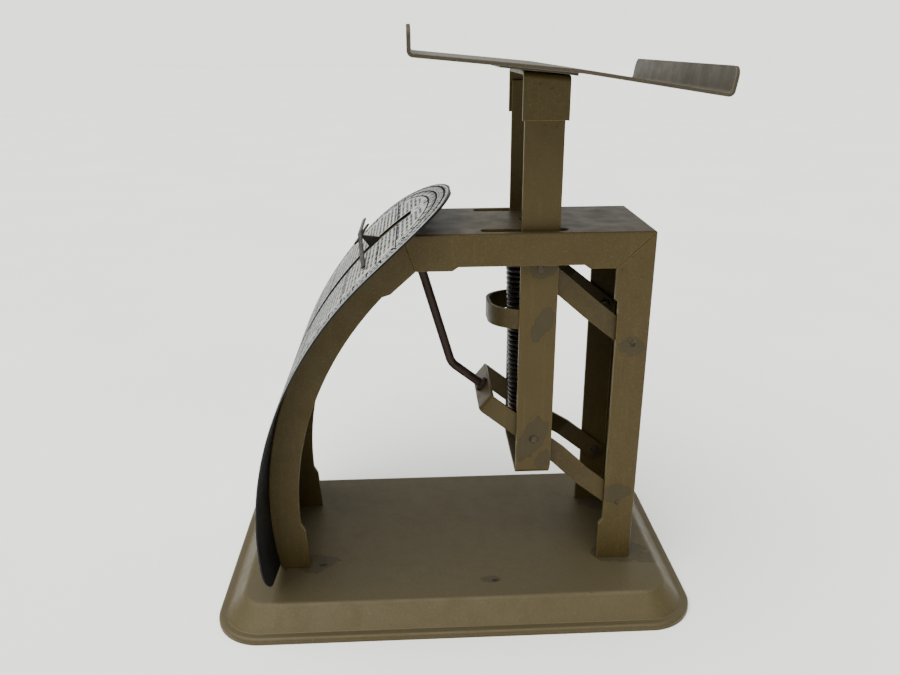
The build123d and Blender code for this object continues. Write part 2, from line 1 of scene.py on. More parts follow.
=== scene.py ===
"""Looks of a small spring platform scale: enamelled sheet metal, printed dial, coil spring."""

import json
import math
import random

import bpy
from mathutils import Matrix, Vector


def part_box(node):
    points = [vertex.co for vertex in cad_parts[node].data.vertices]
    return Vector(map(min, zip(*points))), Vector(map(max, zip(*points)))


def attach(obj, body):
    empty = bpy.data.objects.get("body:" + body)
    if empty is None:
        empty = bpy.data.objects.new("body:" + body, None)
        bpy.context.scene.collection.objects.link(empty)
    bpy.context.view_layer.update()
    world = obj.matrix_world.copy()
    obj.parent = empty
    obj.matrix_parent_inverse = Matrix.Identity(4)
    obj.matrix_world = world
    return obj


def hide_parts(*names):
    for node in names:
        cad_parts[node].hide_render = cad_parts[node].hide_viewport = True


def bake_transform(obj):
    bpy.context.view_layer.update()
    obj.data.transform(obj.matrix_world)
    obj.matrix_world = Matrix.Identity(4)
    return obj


bl_info = {
    "name": "Spring Platform Scale",
    "version": (1, 0, 0),
    "blender": (4, 5, 0),
    "location": "View3D > Sidebar > Scale",
    "description": "Finishes, dial print and coil spring for a small platform scale",
    "category": "Object",
}

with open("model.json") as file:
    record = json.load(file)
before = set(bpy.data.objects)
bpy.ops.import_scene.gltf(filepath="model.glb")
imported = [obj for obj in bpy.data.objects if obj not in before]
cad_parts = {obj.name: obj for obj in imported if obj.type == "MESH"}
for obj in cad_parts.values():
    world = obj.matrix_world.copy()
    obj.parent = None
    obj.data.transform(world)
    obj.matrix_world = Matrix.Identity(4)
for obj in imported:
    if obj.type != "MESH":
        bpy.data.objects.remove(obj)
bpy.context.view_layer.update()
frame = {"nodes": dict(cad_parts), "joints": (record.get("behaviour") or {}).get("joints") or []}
MM = 0.001
JOINTS = {joint["name"]: joint for joint in frame["joints"]}

# the dial is bent about the lower lever's rear pivot
PIVOT = Vector(JOINTS["lower_link"]["pos_m"])
CARD_LOW, CARD_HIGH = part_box("dial_face")
DIAL_RADIUS = PIVOT.x - CARD_LOW.x
SPRING_LOW, SPRING_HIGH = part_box("spring")

# the pointer's slot in the dial: half its width, and the heights of its two ends
SLOT_HALF = 3.2 * MM
SLOT_TOP = PIVOT.z + DIAL_RADIUS * math.sin(math.radians(54.9))
SLOT_FOOT = PIVOT.z + DIAL_RADIUS * math.sin(math.radians(-2.5))

# Kinds of shader node. A Map Range's sockets 1 to 4 are its low and high values before and
# after. A Mix's sockets 0, 6 and 7 are the share of the second colour and the two colours.
COORDINATES = "ShaderNodeTexCoord"
MAPPING = "ShaderNodeMapping"
GEOMETRY = "ShaderNodeNewGeometry"
NOISE = "ShaderNodeTexNoise"
RANGE = "ShaderNodeMapRange"
MATH = "ShaderNodeMath"
VECTOR_MATH = "ShaderNodeVectorMath"
MIX = "ShaderNodeMix"
BUMP = "ShaderNodeBump"
PRINCIPLED = "ShaderNodeBsdfPrincipled"
OUTPUT = "ShaderNodeOutputMaterial"

# what settles on the enamel, stains it and pits it; the dust's grey also paints a sheen on what
# faces up
DUST_AND_SHEEN = "#4A463C"
GREASE = "#2C281E"
PIT = "#17110A"

# no stain is as far away as this, in units of a stain's size
FAR = 100.0

# light from the room, as linear colour
BACKDROP = (1.95, 1.97, 1.88, 1.0)
CEILING = (0.80, 0.80, 0.78, 1.0)
NEAR_SIDE = (0.46, 0.45, 0.42, 1.0)


# ------------------------------------------------------------------ small helpers
def linear(hex_colour):
    """Linear RGBA from an sRGB hex value."""
    channels = [int(hex_colour[i : i + 2], 16) / 255 for i in (1, 3, 5)]
    low = [c / 12.92 if c <= 0.04045 else ((c + 0.055) / 1.055) ** 2.4 for c in channels]
    return (*low, 1.0)


def put(tree, kind, links=None, out=0, **settings):
    """Adds a node with its settings and links, and gives back one of its outputs.

    links maps a socket's name or number to a value or to another node's output."""
    node = tree.nodes.new(kind)
    for name, value in settings.items():
        setattr(node, name, value)
    for name, value in (links or {}).items():
        socket = node.inputs[name]
        if isinstance(value, bpy.types.NodeSocket):
            tree.links.new(value, socket)
        else:
            socket.default_value = value
    return node.outputs[out] if node.outputs else node


def per_mm(size):
    """Noise scale that gives features of this many millimetres."""
    return 1 / (size * MM)


def new_material(name):
    """Empty node material and the texture coordinates of the rest frame."""
    material = bpy.data.materials.new(name)
    material.use_nodes = True
    tree = material.node_tree
    tree.nodes.clear()
    return material, tree, put(tree, COORDINATES, out="Object")


def nearest_place(tree, where, places):
    """Distance to the nearest stain, in units of its own size. A place is its centre, half
    sizes in mm and turn about Y in degrees."""
    nearest = FAR
    for centre, half, turn in places:
        links = {
            "Vector": where,
            "Location": tuple(c * MM for c in centre),
            "Rotation": (0, math.radians(turn), 0),
            "Scale": tuple(h * MM for h in half),
        }
        local = put(tree, MAPPING, links, vector_type="TEXTURE")
        reach = put(tree, VECTOR_MATH, {0: local}, "Value", operation="LENGTH")
        nearest = put(tree, MATH, {0: nearest, 1: reach}, operation="MINIMUM")
    return nearest


def rubbed_edges(tree, radius, mottle):
    """Mask of the outer edges where a finish is thin, and the rounded normal for them; the bronze
    enamel also paints a highlight along these edges.
    """
    rounded = put(tree, "ShaderNodeBevel", {"Radius": radius * MM}, samples=6)
    flat = put(tree, GEOMETRY, out="Normal")
    facing = put(tree, VECTOR_MATH, {0: rounded, 1: flat}, "Value", operation="DOT_PRODUCT")
    edge = put(tree, RANGE, {"Value": facing, 1: 0.82, 2: 0.985, 3: 1.0, 4: 0.0})
    patchy = put(tree, RANGE, {"Value": mottle, 1: 0.35, 2: 0.6, 3: 0.3, 4: 0.9})
    return put(tree, MATH, {0: edge, 1: patchy}, operation="MULTIPLY"), rounded


# ------------------------------------------------------------------ finishes
def bronze_enamel(name, paint, dull, bright, dust, marks=(), dots=()):
    """Stoved bronze enamel, sprayed on sheet steel: bronze powder in a brown binder gives a
    dark olive gold with a soft satin sheen, a fine orange peel, paler edges that are partly
    rubbed and partly a painted highlight, grey dust with a painted sheen on what faces up,
    and oily stains with a darker rim around them."""
    material, tree, where = new_material(name)
    clouds = put(tree, NOISE, {"Vector": where, "Scale": per_mm(30), "Detail": 4})
    mottle = put(tree, NOISE, {"Vector": where, "Scale": per_mm(6), "Detail": 6, "Roughness": 0.62})
    peel = put(tree, NOISE, {"Vector": where, "Scale": per_mm(0.9), "Detail": 2})
    # real bronze powder is much finer, and is drawn at 0.3 mm so that it shows
    powder = put(tree, NOISE, {"Vector": where, "Scale": per_mm(0.3), "Detail": 1})
    specks = put(tree, NOISE, {"Vector": where, "Scale": per_mm(1.3), "Detail": 1})
    upright = put(tree, MAPPING, {"Vector": where, "Scale": (1, 1, 0.07)})
    streaks = put(tree, NOISE, {"Vector": upright, "Scale": per_mm(1.2), "Detail": 3})
    edges, rounded = rubbed_edges(tree, 0.4, mottle)

    # the coat: clouds of thicker and thinner paint, streaks of wiping and grains of bronze
    share = put(tree, RANGE, {"Value": clouds, 1: 0.36, 2: 0.64})
    colour = put(tree, MIX, {0: share, 6: linear(dull), 7: paint}, 2, data_type="RGBA")
    share = put(tree, RANGE, {"Value": mottle, 1: 0.52, 2: 0.74, 4: 0.25})
    colour = put(tree, MIX, {0: share, 6: colour, 7: linear(dull)}, 2, data_type="RGBA")
    share = put(tree, RANGE, {"Value": streaks, 1: 0.58, 2: 0.76, 4: 0.07})
    colour = put(tree, MIX, {0: share, 6: colour, 7: linear(bright)}, 2, data_type="RGBA")
    share = put(tree, RANGE, {"Value": powder, 1: 0.60, 2: 0.74, 4: 0.30})
    colour = put(tree, MIX, {0: share, 6: colour, 7: linear(bright)}, 2, data_type="RGBA")
    share = put(tree, RANGE, {"Value": specks, 1: 0.765, 2: 0.78, 4: 0.5})
    colour = put(tree, MIX, {0: share, 6: colour, 7: linear(PIT)}, 2, data_type="RGBA")

    # grey dust, and a painted sheen, on what faces up; dust sets their share
    normal = put(tree, GEOMETRY, out="Normal")
    up = put(tree, "ShaderNodeSeparateXYZ", {0: normal}, "Z")
    share = put(tree, RANGE, {"Value": up, 1: 0.80, 2: 1.0, 4: dust})
    colour = put(tree, MIX, {0: share, 6: colour, 7: linear(DUST_AND_SHEEN)}, 2, data_type="RGBA")

    # stains with a darker rim, and small dark spots
    uneven = put(tree, RANGE, {"Value": mottle, 1: 0.25, 2: 0.75, 3: -0.55, 4: 0.55})
    if marks:
        reach = nearest_place(tree, where, marks)
        reach = put(tree, MATH, {0: reach, 1: uneven}, operation="ADD")
        share = put(tree, RANGE, {"Value": reach, 1: 0.92, 2: 1.0, 3: 0.5, 4: 0.0})
        colour = put(tree, MIX, {0: share, 6: colour, 7: linear(GREASE)}, 2, data_type="RGBA")
        share = put(tree, MATH, {0: reach, 1: 0.96, 2: 0.045}, operation="COMPARE")
        share = put(tree, MATH, {0: share, 1: 0.3}, operation="MULTIPLY")
        colour = put(tree, MIX, {0: share, 6: colour, 7: linear(PIT)}, 2, data_type="RGBA")
    if dots:
        reach = nearest_place(tree, where, dots)
        reach = put(tree, MATH, {0: reach, 1: uneven}, operation="ADD")
        share = put(tree, RANGE, {"Value": reach, 1: 0.85, 2: 1.05, 3: 0.85, 4: 0.0})
        colour = put(tree, MIX, {0: share, 6: colour, 7: linear(PIT)}, 2, data_type="RGBA")
    # paler edges: rubbed paint, and a painted highlight along them
    colour = put(tree, MIX, {0: edges, 6: colour, 7: linear(bright)}, 2, data_type="RGBA")

    rough = put(tree, RANGE, {"Value": mottle, 1: 0.3, 2: 0.7, 3: 0.44, 4: 0.6})
    bumps = {"Height": peel, "Strength": 0.2, "Distance": 0.05 * MM, "Normal": rounded}
    bumps = put(tree, BUMP, bumps)
    bumps = {"Height": mottle, "Strength": 0.2, "Distance": 0.12 * MM, "Normal": bumps}
    bumps = put(tree, BUMP, bumps)
    surface = {
        "Base Color": colour,
        "Roughness": rough,
        "Normal": bumps,
        "Metallic": 0.22,
        "Specular IOR Level": 0.25,
    }
    put(tree, OUTPUT, {0: put(tree, PRINCIPLED, surface)})
    return material


def oiled_steel(name, low, high, gloss, wear):
    """Steel wire or strip blackened in oil: nearly black brown with fine drawing marks, a
    little rust, and greyer rubbed edges."""
    material, tree, where = new_material(name)
    mottle = put(tree, NOISE, {"Vector": where, "Scale": per_mm(2.2), "Detail": 5})
    # real drawing marks are finer than 0.25 mm, which is the least that shows
    drawn = put(tree, NOISE, {"Vector": where, "Scale": per_mm(0.25), "Detail": 2})
    rust = put(tree, NOISE, {"Vector": where, "Scale": per_mm(1.1), "Detail": 3})
    edges, rounded = rubbed_edges(tree, 0.22, mottle)
    share = put(tree, RANGE, {"Value": mottle, 1: 0.35, 2: 0.68})
    colour = put(tree, MIX, {0: share, 6: linear(low), 7: linear(high)}, 2, data_type="RGBA")
    share = put(tree, RANGE, {"Value": rust, 1: 0.60, 2: 0.70, 4: 0.45})
    colour = put(tree, MIX, {0: share, 6: colour, 7: linear("#35200F")}, 2, data_type="RGBA")
    share = put(tree, MATH, {0: edges, 1: wear}, operation="MULTIPLY")
    colour = put(tree, MIX, {0: share, 6: colour, 7: linear("#77726A")}, 2, data_type="RGBA")
    rough = put(tree, RANGE, {"Value": mottle, 1: 0.3, 2: 0.7, 3: gloss - 0.1, 4: gloss + 0.12})
    bumps = {"Height": drawn, "Strength": 0.3, "Distance": 0.05 * MM, "Normal": rounded}
    surface = {
        "Base Color": colour,
        "Roughness": rough,
        "Normal": put(tree, BUMP, bumps),
        "Metallic": 0.75,
    }
    put(tree, OUTPUT, {0: put(tree, PRINCIPLED, surface)})
    return material


def varnished_card(name):
    """Printed card under old varnish: a cool off-white, faintly yellowed and scuffed, with
    near-black painted shade along the cut edge of the pointer's slot."""
    material, tree, where = new_material(name)
    clouds = put(tree, NOISE, {"Vector": where, "Scale": per_mm(18), "Detail": 4})
    ageing = put(tree, NOISE, {"Vector": where, "Scale": per_mm(7), "Detail": 4})
    # paper fibre is about 0.05 mm wide, and is drawn ten times as coarse so that it shows
    fibre = put(tree, NOISE, {"Vector": where, "Scale": per_mm(0.5), "Detail": 3})
    share = put(tree, RANGE, {"Value": clouds, 1: 0.4, 2: 0.65})
    fade = {0: share, 6: linear("#989A95"), 7: linear("#A5A7A2")}
    colour = put(tree, MIX, fade, 2, data_type="RGBA")
    share = put(tree, RANGE, {"Value": ageing, 1: 0.52, 2: 0.72, 4: 0.35})
    colour = put(tree, MIX, {0: share, 6: colour, 7: linear("#83806F")}, 2, data_type="RGBA")
    share = put(tree, RANGE, {"Value": fibre, 1: 0.6, 2: 0.8, 4: 0.3})
    colour = put(tree, MIX, {0: share, 6: colour, 7: linear("#70716A")}, 2, data_type="RGBA")

    # painted shade: the card is painted near black in a band along the pointer's slot
    across = put(tree, "ShaderNodeSeparateXYZ", {0: where}, "Y")
    across = put(tree, MATH, {0: across}, operation="ABSOLUTE")
    rim = put(tree, MATH, {0: across, 1: SLOT_HALF + 0.18 * MM}, operation="LESS_THAN")
    height = put(tree, "ShaderNodeSeparateXYZ", {0: where}, "Z")
    middle, reach = (SLOT_TOP + SLOT_FOOT) / 2, (SLOT_TOP - SLOT_FOOT) / 2
    along = put(tree, MATH, {0: height, 1: middle, 2: reach}, operation="COMPARE")
    share = put(tree, MATH, {0: rim, 1: along}, operation="MULTIPLY")
    colour = put(tree, MIX, {0: share, 6: colour, 7: linear("#17161A")}, 2, data_type="RGBA")

    surface = {
        "Base Color": colour,
        "Roughness": put(tree, RANGE, {"Value": clouds, 1: 0.3, 2: 0.7, 3: 0.5, 4: 0.65}),
        "Normal": put(tree, BUMP, {"Height": fibre, "Strength": 0.15, "Distance": 0.04 * MM}),
        "Specular IOR Level": 0.2,
    }
    put(tree, OUTPUT, {0: put(tree, PRINCIPLED, surface)})
    return material


def printing_ink(name, ink, faded, strength):
    """Letterpress ink on card: dense, and a little broken up where the varnish has rubbed."""
    material, tree, where = new_material(name)
    breaks = put(tree, NOISE, {"Vector": where, "Scale": per_mm(0.8), "Detail": 3})
    share = put(tree, RANGE, {"Value": breaks, 1: 0.5, 2: 0.75, 4: strength})
    colour = put(tree, MIX, {0: share, 6: linear(ink), 7: linear(faded)}, 2, data_type="RGBA")
    surface = {"Base Color": colour, "Roughness": 0.75, "Specular IOR Level": 0.08}
    put(tree, OUTPUT, {0: put(tree, PRINCIPLED, surface)})
    return material


def black_japan(name):
    """Black japanned sheet: a blue-black gloss with fine dust and paler rubbed edges."""
    material, tree, where = new_material(name)
    dust = put(tree, NOISE, {"Vector": where, "Scale": per_mm(0.7), "Detail": 3})
    clouds = put(tree, NOISE, {"Vector": where, "Scale": per_mm(12), "Detail": 4})
    edges, rounded = rubbed_edges(tree, 0.1, clouds)
    share = put(tree, RANGE, {"Value": clouds, 1: 0.4, 2: 0.7})
    fade = {0: share, 6: linear("#0B0C0F"), 7: linear("#15171A")}
    colour = put(tree, MIX, fade, 2, data_type="RGBA")
    share = put(tree, RANGE, {"Value": dust, 1: 0.62, 2: 0.74, 4: 0.3})
    colour = put(tree, MIX, {0: share, 6: colour, 7: linear("#3C3D3E")}, 2, data_type="RGBA")
    share = put(tree, MATH, {0: edges, 1: 0.08}, operation="MULTIPLY")
    colour = put(tree, MIX, {0: share, 6: colour, 7: linear("#4A463F")}, 2, data_type="RGBA")
    surface = {
        "Base Color": colour,
        "Roughness": put(tree, RANGE, {"Value": clouds, 1: 0.3, 2: 0.7, 3: 0.42, 4: 0.58}),
        "Normal": rounded,
        "Specular IOR Level": 0.2,
    }
    put(tree, OUTPUT, {0: put(tree, PRINCIPLED, surface)})
    return material


def dress(nodes, material):
    """Gives CAD nodes their finish."""
    for name in nodes:
        slots = frame["nodes"][name].data.materials
        slots.clear()
        slots.append(material)


def add_mesh(name, points, faces, materials, face_materials=None, smooth=False):
    """New mesh object in the scene. face_materials gives each face its material's number."""
    mesh = bpy.data.meshes.new(name)
    mesh.from_pydata(points, [], faces)
    for material in materials:
        mesh.materials.append(material)
    if face_materials:
        mesh.polygons.foreach_set("material_index", face_materials)
    mesh.polygons.foreach_set("use_smooth", [smooth] * len(faces))
    mesh.update()
    piece = bpy.data.objects.new(name, mesh)
    bpy.context.scene.collection.objects.link(piece)
    return piece


# ------------------------------------------------------------------ settings
class SCALE_PG_paint(bpy.types.PropertyGroup):
    frame_paint: bpy.props.FloatVectorProperty(
        name="Frame enamel", description="Bronze enamel of the frame and column",
        default=linear("#40361A"), size=4, min=0.0, max=1.0, subtype="COLOR",
    )
    base_paint: bpy.props.FloatVectorProperty(
        name="Base enamel", description="Bronze enamel of the pan",
        default=linear("#433B24"), size=4, min=0.0, max=1.0, subtype="COLOR",
    )
    tray_paint: bpy.props.FloatVectorProperty(
        name="Tray enamel", description="Bronze enamel of the tray",
        default=linear("#353023"), size=4, min=0.0, max=1.0, subtype="COLOR",
    )


class SCALE_PG_dial(bpy.types.PropertyGroup):
    ring_width: bpy.props.FloatProperty(
        name="Ring width", description="Width of the graduated border", default=5.6 * MM,
        unit="LENGTH",
    )
    number_height: bpy.props.FloatProperty(
        name="Number height", description="Height of the ring's figures", default=2.5 * MM,
        unit="LENGTH",
    )
    row_pitch: bpy.props.FloatProperty(
        name="Row pitch", description="Distance between rows of fine print", default=1.7 * MM,
        unit="LENGTH",
    )


class SCALE_PG_spring(bpy.types.PropertyGroup):
    wire_radius: bpy.props.FloatProperty(
        name="Wire radius", description="Radius of the spring's wire", default=0.75 * MM,
        unit="LENGTH",
    )
    pitch: bpy.props.FloatProperty(
        name="Pitch", description="Rise of one turn", default=1.72 * MM, unit="LENGTH"
    )


# ------------------------------------------------------------------ the stage
class SCALE_OT_stage(bpy.types.Operator):
    """Pale floor, soft light and the camera"""

    bl_idname = "scale.stage"
    bl_label = "Stage"

    floor_reach = 6.0
    sun_strength = 5.9
    sun_spread = math.radians(75)
    sun_direction = (0.30, 0.38, -1.0)
    camera_place = (-0.01086, -0.24768, 0.18089)
    camera_turn = (2.5, 20.85, -0.39)  # yaw, pitch downwards and roll, in degrees
    camera_lens = 31.04
    camera_sensor = 36

    def execute(self, context):
        scene = context.scene
        self.floor()
        self.room(scene)
        self.soft_sun()
        self.camera(scene)
        return {"FINISHED"}

    def floor(self):
        """Matt white laminate: near white with a hardly visible unevenness."""
        material, tree, where = new_material("matt_white_laminate")
        clouds = put(tree, NOISE, {"Vector": where, "Scale": per_mm(120), "Detail": 3})
        share = put(tree, RANGE, {"Value": clouds, 1: 0.3, 2: 0.7})
        fade = {0: share, 6: linear("#EFEFED"), 7: linear("#F4F4F2")}
        colour = put(tree, MIX, fade, 2, data_type="RGBA")
        surface = {"Base Color": colour, "Roughness": 0.7, "Specular IOR Level": 0.1}
        put(tree, OUTPUT, {0: put(tree, PRINCIPLED, surface)})
        reach = self.floor_reach
        corners = [(-reach, -reach, 0), (reach, -reach, 0), (reach, reach, 0), (-reach, reach, 0)]
        add_mesh("floor", corners, [(0, 1, 2, 3)], [material])

    def room(self, scene):
        """A bright sheet low down behind, a greyer ceiling, and a dimmer room in front."""
        world = bpy.data.worlds.new("pale_room")
        world.use_nodes = True
        tree = world.node_tree
        tree.nodes.clear()
        direction = put(tree, COORDINATES, out="Generated")
        back = put(tree, "ShaderNodeSeparateXYZ", {0: direction}, "Y")
        height = put(tree, "ShaderNodeSeparateXYZ", {0: direction}, "Z")
        sheet = put(tree, RANGE, {"Value": height, 1: 0.06, 2: 0.30, 3: 1.0, 4: 0.0})
        shade = put(tree, MIX, {0: sheet, 6: CEILING, 7: BACKDROP}, 2, data_type="RGBA")
        behind = put(tree, RANGE, {"Value": back, 1: -0.6, 2: 0.4})
        shade = put(tree, MIX, {0: behind, 6: NEAR_SIDE, 7: shade}, 2, data_type="RGBA")
        glow = put(tree, "ShaderNodeBackground", {"Color": shade, "Strength": 1.0})
        put(tree, "ShaderNodeOutputWorld", {"Surface": glow})
        scene.world = world

    def soft_sun(self):
        """A wide window of daylight from above, in front and to the left."""
        lamp = bpy.data.lights.new("window_light", "SUN")
        lamp.energy = self.sun_strength
        lamp.angle = self.sun_spread
        holder = bpy.data.objects.new("window_light", lamp)
        towards = Vector(self.sun_direction)
        holder.rotation_euler = towards.to_track_quat("-Z", "Y").to_euler()
        bpy.context.scene.collection.objects.link(holder)

    def camera(self, scene):
        """Looks a little down on the side of the scale."""
        yaw, pitch, roll = (math.radians(a) for a in self.camera_turn)
        ahead = Vector(
            (math.sin(yaw) * math.cos(pitch), math.cos(yaw) * math.cos(pitch), -math.sin(pitch))
        )
        level = Vector((math.cos(yaw), -math.sin(yaw), 0))
        above = level.cross(ahead)
        right = level * math.cos(roll) + above * math.sin(roll)
        up = above * math.cos(roll) - level * math.sin(roll)
        lens = bpy.data.cameras.new("camera")
        lens.sensor_width = self.camera_sensor
        lens.lens = self.camera_lens
        lens.clip_start = 0.01
        lens.clip_end = 50
        camera = bpy.data.objects.new("camera", lens)
        turned = Matrix((right, up, -ahead)).transposed().to_4x4()
        camera.matrix_world = Matrix.Translation(self.camera_place) @ turned
        scene.collection.objects.link(camera)
        scene.camera = camera


# ------------------------------------------------------------------ sheet metal
class SCALE_OT_sheet_metal(bpy.types.Operator):
    """Bronze enamel for the pan, frame, column and tray"""

    bl_idname = "scale.sheet_metal"
    bl_label = "Sheet metal"

    def execute(self, context):
        paint = context.scene.scale_paint
        base = bronze_enamel(
            "stoved_bronze_enamel_base",
            paint.base_paint,
            "#423A23",
            "#74663C",
            marks=[
                ((-50, -18, 9), (9, 5, 6), 0),
                ((60, -18, 9), (12, 6, 6), 0),
                ((12, -30, 9), (3.6, 1.8, 3), 0),
                ((60, 18, 9), (10, 6, 6), 0),
            ],
            dots=[((13.5, -30.5, 9), (1.3, 0.7, 2), 0), ((-46, -19, 9), (1.6, 0.8, 3), 0)],
            dust=0.25,
        )
        dress(["base_pan"], base)
        body = bronze_enamel(
            "stoved_bronze_enamel_frame",
            paint.frame_paint,
            "#3D3319",
            "#786833",
            marks=[
                ((57, -20, 89.5), (4.2, 3, 3.4), 10),
                ((56, -20, 36), (4.4, 3, 3.8), -20),
                ((30, -12, 127), (12, 3, 2), 0),
            ],
            dots=[((57.5, -20, 90.2), (0.8, 2, 0.8), 0), ((56.9, -20, 31.5), (1.3, 2, 1.3), 0)],
            dust=0.28,
        )
        dress(["frame_channel"], body)
        column = bronze_enamel(
            "stoved_bronze_enamel_column",
            paint.frame_paint,
            "#3F351A",
            "#7A6A34",
            marks=[
                ((28, -16, 115), (4.6, 3, 3.4), -35),
                ((29, -16, 96.5), (2.6, 3, 6.4), 28),
                ((26.8, -16, 56), (3.8, 3, 8.0), 25),
                ((31.0, -16, 47.5), (2.6, 3, 3.0), 20),
            ],
            dots=[((27.3, -16, 55.2), (1.5, 2, 1.5), 0)],
            dust=0.3,
        )
        dress(["column_strap", "column_cap"], column)
        tray = bronze_enamel(
            "stoved_bronze_enamel_tray", paint.tray_paint, "#3D372A", "#6F685C", dust=0.45
        )
        dress(["tray", "tray_stiffener"], tray)
        return {"FINISHED"}


# ------------------------------------------------------------------ dial
class DialSurface:
    """Places on the dial's face: arc is measured up the face from the dial's middle."""

    lift = 0.03 * MM
    nose = 26.5 * MM  # length of the half oval at the upper end
    corner = 13 * MM  # height of the rounded lower corners, which the border leaves out
    measured_inset = 3 * MM  # the border's length is measured along this line
    measured_steps = 600

    def __init__(self):
        top = math.asin((CARD_HIGH.z - PIVOT.z) / DIAL_RADIUS)
        low = math.asin((CARD_LOW.z - PIVOT.z) / DIAL_RADIUS)
        self.middle = (top + low) / 2
        self.half_width = CARD_HIGH.y
        self.top = DIAL_RADIUS * math.sin(top - self.middle)
        self.foot = DIAL_RADIUS * math.sin(low - self.middle)
        self.lengths = [(0.0, 0.0)]
        last = self.border(0.0, self.measured_inset)
        for i in range(1, self.measured_steps + 1):
            turn = 3 * i / self.measured_steps
            here = self.border(turn, self.measured_inset)
            run = math.dist(here, last) + self.lengths[-1][1]
            self.lengths.append((turn, run))
            last = here

    def point(self, arc, across):
        """Place just above the card, in metres."""
        angle = self.middle + arc / DIAL_RADIUS
        radius = DIAL_RADIUS + self.lift
        return (PIVOT.x - radius * math.cos(angle), across, PIVOT.z + radius * math.sin(angle))

    def arc_of(self, chord):
        """Arc for a length measured straight, square on to the dial."""
        return DIAL_RADIUS * math.asin(chord / DIAL_RADIUS)

    def border(self, turn, inset):
        """Point (arc, across) of the outline drawn in: near side 0-1, nose 1-2, far side 2-3."""
        start = self.top - self.nose
        half = self.half_width - inset
        low = self.foot + self.corner
        if turn <= 1:
            return self.arc_of(low + (start - low) * turn), -half
        if turn >= 2:
            return self.arc_of(start + (low - start) * (turn - 2)), half
        angle = math.pi * (turn - 1.5)
        chord = start + (self.nose - inset) * math.cos(angle)
        return self.arc_of(chord), half * math.sin(angle)

    def turn_at(self, run):
        """The outline's turn at a distance along it."""
        run = min(max(run, 0.0), self.lengths[-1][1])
        low, high = 0, len(self.lengths) - 1
        while high - low > 1:
            middle = (low + high) // 2
            if self.lengths[middle][1] <= run:
                low = middle
            else:
                high = middle
        (turn_low, run_low), (turn_high, run_high) = self.lengths[low], self.lengths[high]
        return turn_low + (turn_high - turn_low) * (run - run_low) / (run_high - run_low)


class DialPrint:
    """Collects the printed shapes as faces just above the card."""

    black, grey = 0, 1
    longest_flat = 3 * MM  # a longer block is cut, so that it follows the dial's bend
    ring_steps = 150

    def __init__(self, surface):
        self.surface = surface
        self.points = []
        self.faces = []
        self.inks = []

    def face(self, corners, ink):
        """One face, from its corners as (arc, across)."""
        start = len(self.points)
        self.points += [self.surface.point(arc, across) for arc, across in corners]
        self.faces.append(tuple(range(start, start + len(corners))))
        self.inks.append(ink)

    def block(self, arc, across, height, width, ink):
        """Rectangle with its lower left corner at arc, across."""
        pieces = max(1, math.ceil(height / self.longest_flat))
        step = height / pieces
        for i in range(pieces):
            low = arc + i * step
            self.face(
                [
                    (low, across),
                    (low, across + width),
                    (low + step, across + width),
                    (low + step, across),
                ],
                ink,
            )

    def ring(self, outer, inner, ink):
        """Line right round the border, between two insets."""
        for i in range(self.ring_steps):
            a, b = 3 * i / self.ring_steps, 3 * (i + 1) / self.ring_steps
            corners = [(a, outer), (a, inner), (b, inner), (b, outer)]
            self.face([self.surface.border(*c) for c in corners], ink)

    def tick(self, run, outer, inner, width, ink):
        """Line across the border, between two insets."""
        a = self.surface.turn_at(run - width / 2)
        b = self.surface.turn_at(run + width / 2)
        corners = [(a, outer), (a, inner), (b, inner), (b, outer)]
        self.face([self.surface.border(*c) for c in corners], ink)

    def figure(self, glyphs, run, foot_inset, height, ink):
        """A number that stands on an inset line, its top towards the rim."""
        points, faces, width = glyphs
        for corners in faces:
            placed = []
            for i in corners:
                x, y = points[i]
                turn = self.surface.turn_at(run + (x - width / 2) * height)
                placed.append(self.surface.border(turn, foot_inset - y * height))
            self.face(placed, ink)


def glyph_shapes(text):
    """Flat outline faces of a number in the built-in face, one unit high."""
    curve = bpy.data.curves.new("figure", "FONT")
    curve.body = text
    curve.resolution_u = 2
    holder = bpy.data.objects.new("figure", curve)
    bpy.context.scene.collection.objects.link(holder)
    bpy.context.view_layer.update()
    shape = holder.evaluated_get(bpy.context.evaluated_depsgraph_get())
    mesh = bpy.data.meshes.new_from_object(shape)
    tall = max(v.co.y for v in mesh.vertices)
    points = [(v.co.x / tall, v.co.y / tall) for v in mesh.vertices]
    faces = [tuple(p.vertices) for p in mesh.polygons]
    bpy.data.meshes.remove(mesh)
    bpy.data.objects.remove(holder)
    bpy.data.curves.remove(curve)
    return points, faces, max(x for x, _ in points)


